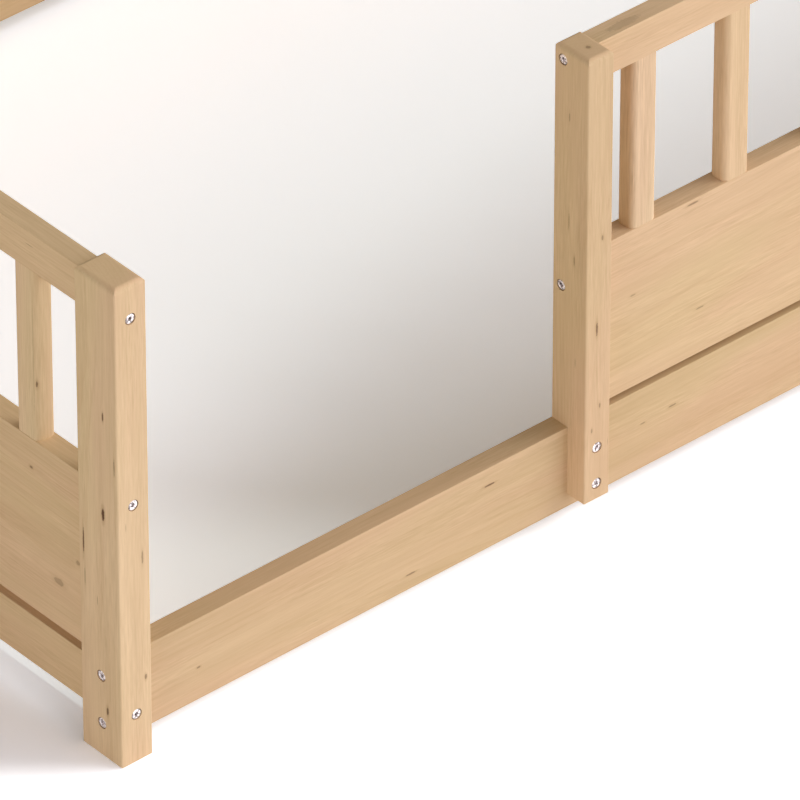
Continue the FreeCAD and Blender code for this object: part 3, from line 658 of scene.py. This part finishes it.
def make_bolt_tree():
    tree, given = new_group("socket_bolts", "GeometryNodeTree", (
        ("Geometry", "Geometry"), ("Head Radius", "Float", 0.005), ("Head Height", "Float", 0.006),
        ("Edge Rounding", "Float", 0.0006), ("Knurl Depth", "Float", 0.00012),
        ("Socket Width", "Float", 0.004), ("Socket Depth", "Float", 0.0025),
        ("Shank Radius", "Float", 0.003), ("Bolt Length", "Float", 0.06), ("Seed", "Int", 7),
        ("Finish", "Material"),
    ), (("Geometry", "Geometry"),))

    def times(name, share):
        """A share of one of the given sizes."""
        return calc(tree, "MULTIPLY", given[name], share)

    # The profile, from the middle of the socket's floor to the tip: radius, height above the head's face,
    # how much of a hexagon, how much knurl.
    socket_radius = times("Socket Width", 0.5)
    lip_radius = times("Socket Width", 0.61)       # just outside the hexagon's corners
    floor_height = times("Socket Depth", -1.0)
    floor_dip = calc(tree, "SUBTRACT", floor_height, SOCKET_DISH)
    face_radius = calc(tree, "SUBTRACT", given["Head Radius"], given["Edge Rounding"])
    mid_radius = calc(tree, "SUBTRACT", given["Head Radius"], times("Edge Rounding", 0.3))
    mid_height = times("Edge Rounding", -0.3)
    edge_height = times("Edge Rounding", -1.0)
    knurl_top = times("Edge Rounding", -1.6)
    seat_height = times("Head Height", -1.0)
    knurl_bottom = calc(tree, "ADD", seat_height, given["Edge Rounding"])
    tip_height = times("Bolt Length", -1.0)
    tip_start = calc(tree, "ADD", tip_height, TIP_BEVEL)
    tip_radius = calc(tree, "SUBTRACT", given["Shank Radius"], TIP_BEVEL)
    profile = (
        (0.0, floor_dip, 0.0, 0.0),
        (socket_radius, floor_height, 1.0, 0.0),
        (socket_radius, -SOCKET_LIP, 1.0, 0.0),
        (lip_radius, 0.0, 0.0, 0.0),
        (face_radius, 0.0, 0.0, 0.0),
        (mid_radius, mid_height, 0.0, 0.0),
        (given["Head Radius"], edge_height, 0.0, 0.0),
        (given["Head Radius"], knurl_top, 0.0, 1.0),
        (given["Head Radius"], knurl_bottom, 0.0, 1.0),
        (given["Head Radius"], seat_height, 0.0, 0.0),
        (given["Shank Radius"], seat_height, 0.0, 0.0),
        (given["Shank Radius"], tip_start, 0.0, 0.0),
        (tip_radius, tip_height, 0.0, 0.0),
        (0.0, tip_height, 0.0, 0.0),
    )
    grid = put(tree, "GeometryNodeMeshGrid", {
        "Size X": 1.0, "Size Y": 1.0, "Vertices X": len(profile), "Vertices Y": STEPS_ROUND + 1})
    spot = put(tree, "ShaderNodeSeparateXYZ", {0: put(tree, "GeometryNodeInputPosition").outputs[0]}).outputs
    station = calc(tree, "ROUND", calc(tree, "MULTIPLY", calc(tree, "ADD", spot[0], 0.5), len(profile) - 1.0))
    angle = calc(tree, "MULTIPLY", calc(tree, "ADD", spot[1], 0.5), 2 * math.pi)

    def at_station(column):
        switch = put(tree, "GeometryNodeIndexSwitch", data_type="FLOAT")
        while len(switch.index_switch_items) < len(profile):
            switch.index_switch_items.new()
        for socket, value in zip(switch.inputs, (station, *(row[column] for row in profile))):
            feed(tree, socket, value)
        return switch.outputs[0]

    within = calc(tree, "SUBTRACT", calc(tree, "MODULO", angle, SIXTH), SIXTH / 2)
    hexagon = calc(tree, "DIVIDE", 1.0, calc(tree, "COSINE", within))
    stretch = calc(tree, "MULTIPLY", at_station(2), calc(tree, "SUBTRACT", hexagon, 1.0))
    stretch = calc(tree, "ADD", 1.0, stretch)
    ridge = calc(tree, "COSINE", calc(tree, "MULTIPLY", angle, RIDGES))
    ridge = calc(tree, "MULTIPLY", calc(tree, "SUBTRACT", ridge, 1.0), times("Knurl Depth", 0.5))
    radius = calc(tree, "MULTIPLY", at_station(0), stretch)
    radius = calc(tree, "ADD", radius, calc(tree, "MULTIPLY", ridge, at_station(3)))
    place = put(tree, "ShaderNodeCombineXYZ", {
        0: calc(tree, "MULTIPLY", radius, calc(tree, "COSINE", angle)),
        1: calc(tree, "MULTIPLY", radius, calc(tree, "SINE", angle)), 2: at_station(1)}).outputs[0]
    shaped = put(tree, "GeometryNodeSetPosition", {"Geometry": grid.outputs["Mesh"], "Position": place})
    closed = put(tree, "GeometryNodeMergeByDistance", {
        "Geometry": shaped.outputs[0], "Distance": WELD_DISTANCE})

    # One bolt on each mark, facing outwards, with a random turn.
    outward = put(tree, "GeometryNodeInputNamedAttribute", {"Name": "outward"}, data_type="FLOAT_VECTOR")
    facing = put(tree, "FunctionNodeAlignRotationToVector", {"Vector": outward.outputs[0]}, axis="Z")
    spin = put(tree, "FunctionNodeRandomValue", {
        2: 0.0, 3: SIXTH, "Seed": given["Seed"]}, data_type="FLOAT")
    spin_turn = put(tree, "FunctionNodeAxisAngleToRotation", {"Angle": spin.outputs[1]})
    turned = put(tree, "FunctionNodeRotateRotation", {
        "Rotation": facing.outputs[0], "Rotate By": spin_turn.outputs[0]}, rotation_space="LOCAL")
    placed = put(tree, "GeometryNodeInstanceOnPoints", {
        "Points": given["Geometry"], "Instance": closed.outputs[0], "Rotation": turned.outputs[0]})
    real = put(tree, "GeometryNodeRealizeInstances", {0: placed.outputs[0]})
    finished = put(tree, "GeometryNodeSetMaterial", {
        "Geometry": real.outputs[0], "Material": given["Finish"]})
    put(tree, "NodeGroupOutput", {"Geometry": finished.outputs[0]})
    return tree


bolt_tree = make_bolt_tree()
print("bolt tree:", len(bolt_tree.nodes), "nodes")

# %% Bolts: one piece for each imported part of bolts
SHARP_ANGLE = math.radians(38)


def socket_identifier(tree, name):
    return next(item.identifier for item in tree.interface.items_tree
                if item.item_type == "SOCKET" and item.in_out == "INPUT" and item.name == name)


def make_bolts(node_name, bolts):
    marks = bpy.data.meshes.new(node_name + "_marks")
    marks.from_pydata([bolt[0] for bolt in bolts], [], [])
    directions = marks.attributes.new("outward", "FLOAT_VECTOR", "POINT")
    for index, bolt in enumerate(bolts):
        directions.data[index].vector = bolt[1]
    holder = bpy.data.objects.new(node_name + "_marks", marks)
    bpy.context.scene.collection.objects.link(holder)
    maker = holder.modifiers.new("bolts", "NODES")
    maker.node_group = bolt_tree
    maker[socket_identifier(bolt_tree, "Bolt Length")] = bolts[0][2]
    maker[socket_identifier(bolt_tree, "Finish")] = bolt_zinc
    depsgraph = bpy.context.evaluated_depsgraph_get()
    mesh = bpy.data.meshes.new_from_object(holder.evaluated_get(depsgraph), depsgraph=depsgraph)
    bpy.data.objects.remove(holder)
    mesh.name = node_name + "_turned"
    mesh.shade_smooth()
    mesh.set_sharp_from_angle(angle=SHARP_ANGLE)
    piece = bpy.data.objects.new(node_name + "_turned", mesh)
    bpy.context.scene.collection.objects.link(piece)
    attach(piece, "root")
    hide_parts(node_name)
    return piece


for name, bolts in bolts_of.items():
    piece = make_bolts(name, bolts)
    low, high = ([pick(v.co[i] for v in piece.data.vertices) for i in range(3)] for pick in (min, max))
    print(piece.name, len(piece.data.polygons), "faces", rounded(low), rounded(high))

# %% [markdown]
# ## Floor and light
# The photograph has a white floor that stays white in front of the bed and greys softly behind its
# boards. A floor that is only as pale as real paint would look light grey here, so for the camera, and in
# the bolts' reflections, it answers the light more strongly and glows a little. The glow depends on the
# place: strong in front of the bed, where the picture is pure white, as it is behind the bed and to its
# right; weak just behind the front rail, which deepens its shadow with painted shade; and stronger again
# further in and beside the near post, as painted light. Under the left end the floor keeps a band of
# painted shade. The wood gets no light from all this. The world does the same: it lights the bed weakly
# and warmly, like light that has bounced about a room, and looks white where the camera sees it.
# The bolts mirror a room with dark and bright parts, or they would look flat.
#
# Four wide soft lamps light the bed. The light in the photograph comes in low: upright faces are brighter
# than the tops of the rails. One lamp shines from straight in front, one from a little to the right of
# that, one from the right and higher, which throws the soft shadow back and to the left, and one from the
# left for the end of the bed.

# %% Floor
WHITE = (1.0, 1.0, 1.0, 1.0)
FLOOR_SIZE = 30.0                        # metres
FLOOR_PAINT = (0.92, 0.91, 0.90, 1.0)    # as the wood is lit by it
FLOOR_SEEN = (1.32, 1.35, 1.54, 1.0)     # as the camera sees it
INNER_GLOW = (0.068, 0.185)              # painted light, low just behind the front rail to deepen its shadow, and higher further in
INNER_GLOW_REACH = (0.17, 0.42)          # metres behind the near post where it starts and stops to grow
INNER_GLOW_SLANT = 0.15                  # how much further back that is for each metre to the right
POST_GLOW = 0.13                         # painted light added beside the near post, where light comes in at the entrance
POST_GLOW_REACH = (0.62, 0.42)           # metres to the right and to the back, added up
POST_GLOW_LEFT = 0.03                    # metres to the right of the near post's outer face
GLOW_TINT = (0.85, 1.0, 1.0, 1.0)        # it takes the pink out of the shade inside the bed
OPEN_GLOW = 0.6                          # added in front of the bed, where the photograph is pure white,
OPEN_GLOW_START = 0.03                   # and behind it and to its right, from this far under its edge
GLOW_EDGE = 0.056                        # metres over which it grows to its full strength
RAIL_GLOW_START = 0.034                  # metres behind the base rail's face
POST_GLOW_START = 0.016                  # metres behind the near post's outer corner, as the camera looks
POST_GLOW_SIDE = 0.010                   # metres to the left of that post
END_SHADE = 0.82                         # painted shade: how much of its answer to light the floor keeps under the bed's end
END_SHADE_LINE = 0.03                    # metres to the right of the near post's outer corner
END_SHADE_REACH = 0.05                   # metres from that line to where the shade ends
END_SHADE_LENGTH = (0.8, 0.5)            # metres behind the near post where the shade is gone, and where full


def seen_directly(tree):
    """1 for a ray from the camera, or one that a shiny or clear surface has sent on; else 0."""
    rays = put(tree, "ShaderNodeLightPath").outputs
    shiny_or_clear = calc(tree, "MAXIMUM", rays["Is Glossy Ray"], rays["Is Transmission Ray"])
    return calc(tree, "MAXIMUM", rays["Is Camera Ray"], shiny_or_clear)


floor_mesh = bpy.data.meshes.new("studio_floor")
half_floor = FLOOR_SIZE / 2
floor_mesh.from_pydata([(-half_floor, -half_floor, 0), (half_floor, -half_floor, 0),
                        (half_floor, half_floor, 0), (-half_floor, half_floor, 0)], [], [(0, 1, 2, 3)])
floor = bpy.data.objects.new("studio_floor", floor_mesh)
bpy.context.scene.collection.objects.link(floor)

floor_paint = new_material("white_floor")
tree = floor_paint.node_tree
seen = seen_directly(tree)
post_corner = near_foot.xy
spot = put(tree, "ShaderNodeTexCoord").outputs["Object"]
spot_parts = put(tree, "ShaderNodeSeparateXYZ", {0: spot}).outputs
to_right = calc(tree, "SUBTRACT", spot_parts[0], post_corner.x)
to_back = calc(tree, "SUBTRACT", spot_parts[1], post_corner.y)

# Its answer to light, with a band of painted shade under the left end.
from_end = calc(tree, "ABSOLUTE", calc(tree, "SUBTRACT", to_right, END_SHADE_LINE))
lost = remap(tree, from_end, END_SHADE_REACH, 0.0, 0.0, 1.0 - END_SHADE)
lost = calc(tree, "MULTIPLY", lost, remap(tree, to_back, *END_SHADE_LENGTH))
kept = calc(tree, "SUBTRACT", 1.0, lost)
answer = blend(tree, 1.0, FLOOR_SEEN, reckon(tree, "MULTIPLY", kept, WHITE[:3]), "MULTIPLY")
matt = put(tree, "ShaderNodeBsdfDiffuse", {"Color": blend(tree, seen, FLOOR_PAINT, answer)})

# How far a spot lies out in the open: in front of the rail and the near post, behind the bed, at its right.
rail_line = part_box("front_base_rail")[0][1] + RAIL_GLOW_START
before_rail = calc(tree, "SUBTRACT", rail_line, spot_parts[1])
beside_post = calc(tree, "ADD", to_right, POST_GLOW_SIDE)
to_viewer = Vector((-math.sin(VIEW_TURN), -math.cos(VIEW_TURN)))
glow_corner = post_corner - to_viewer * POST_GLOW_START
before_post = reckon(tree, "SUBTRACT", spot, (*glow_corner, 0.0))
before_post = reckon(tree, "DOT_PRODUCT", before_post, (*to_viewer, 0.0))
in_front = calc(tree, "MAXIMUM", calc(tree, "MINIMUM", before_rail, beside_post), before_post)
far_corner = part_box("corner_post_back_right")[1]
behind = calc(tree, "SUBTRACT", spot_parts[1], far_corner.y - OPEN_GLOW_START)
at_right = calc(tree, "SUBTRACT", spot_parts[0], far_corner.x - OPEN_GLOW_START)
in_open = calc(tree, "MAXIMUM", in_front, calc(tree, "MAXIMUM", behind, at_right))
open_part = remap(tree, in_open, 0.0, GLOW_EDGE)

# The glow: painted light inside the bed, more painted light beside the near post, and the open floor's.
further_in = calc(tree, "SUBTRACT", to_back, calc(tree, "MULTIPLY", to_right, INNER_GLOW_SLANT))
glow_level = remap(tree, further_in, *INNER_GLOW_REACH, *INNER_GLOW)
near_post = remap(tree, calc(tree, "ADD", to_right, to_back), *POST_GLOW_REACH, 0.0, POST_GLOW)
inside = calc(tree, "GREATER_THAN", to_right, POST_GLOW_LEFT)
glow_level = calc(tree, "ADD", glow_level, calc(tree, "MULTIPLY", near_post, inside))
glow_level = calc(tree, "ADD", glow_level, calc(tree, "MULTIPLY", open_part, OPEN_GLOW))
tinted = calc(tree, "MULTIPLY", inside, calc(tree, "SUBTRACT", 1.0, open_part))
glow = put(tree, "ShaderNodeEmission", {
    "Color": blend(tree, tinted, WHITE, GLOW_TINT), "Strength": calc(tree, "MULTIPLY", seen, glow_level)})
both = put(tree, "ShaderNodeAddShader", {0: matt.outputs[0], 1: glow.outputs[0]})
put(tree, "ShaderNodeOutputMaterial", {0: both.outputs[0]})
floor_mesh.materials.append(floor_paint)
print("floor:", FLOOR_SIZE, "m square")

# %% World
WORLD_LEVEL = 0.18                       # how strongly it lights the bed
WORLD_TINT = (1.0, 0.96, 0.76, 1.0)      # the light that has bounced about the room is warm
MIRRORED_DARK = 0.15                     # the bolts mirror a room with dark and bright parts
MIRRORED_BRIGHT = 0.95
ROOM_RATE = 1.6                          # how often the room changes from dark to bright
world = bpy.data.worlds.new("studio")
bpy.context.scene.world = world
world.use_nodes = True
tree = world.node_tree
tree.nodes.clear()
rays = put(tree, "ShaderNodeLightPath").outputs
direction = put(tree, "ShaderNodeTexCoord").outputs["Generated"]
room = put(tree, "ShaderNodeTexNoise", {"Vector": direction, "Scale": ROOM_RATE, "Detail": 1.0}).outputs[0]
mirrored = remap(tree, room, 0.44, 0.54, MIRRORED_DARK, MIRRORED_BRIGHT)
seen = seen_directly(tree)
level = put(tree, "ShaderNodeMix", {0: rays["Is Glossy Ray"], 2: seen, 3: mirrored}).outputs[0]
level = calc(tree, "MAXIMUM", level, WORLD_LEVEL)
tint = blend(tree, seen, WORLD_TINT, WHITE)
sky = put(tree, "ShaderNodeBackground", {"Color": tint, "Strength": level})
put(tree, "ShaderNodeOutputWorld", {0: sky.outputs[0]})
print("world:", len(tree.nodes), "nodes")

# %% Lamps
LAMP_WIDTH = math.radians(40)            # how wide it looks from the bed, which makes soft shadows

# The turn is in degrees from straight in front towards the right, the height in degrees above the floor.
Lamp = namedtuple("Lamp", "turn height level colour")
LAMPS = {"front_lamp": Lamp(0, 12, 0.19, (1.0, 1.0, 1.09)),
         "front_right_lamp": Lamp(25, 12, 0.27, (1.0, 1.0, 1.09)),
         "right_lamp": Lamp(60, 36, 0.48, (1.0, 0.99, 0.93)),
         "left_lamp": Lamp(-78, 12, 0.355, (1.0, 0.98, 0.95))}

for name, lamp in LAMPS.items():
    light = bpy.data.lights.new(name, "SUN")
    light.energy = lamp.level * math.pi
    light.color = lamp.colour
    light.angle = LAMP_WIDTH
    turn, height = math.radians(lamp.turn), math.radians(lamp.height)
    toward_lamp = Vector((math.sin(turn) * math.cos(height), -math.cos(turn) * math.cos(height),
                          math.sin(height)))
    lamp_object = bpy.data.objects.new(name, light)
    lamp_object.rotation_euler = toward_lamp.to_track_quat("Z", "Y").to_euler()
    bpy.context.scene.collection.objects.link(lamp_object)
bpy.context.scene.view_settings.view_transform = "Standard"
print("lamps:", list(LAMPS))
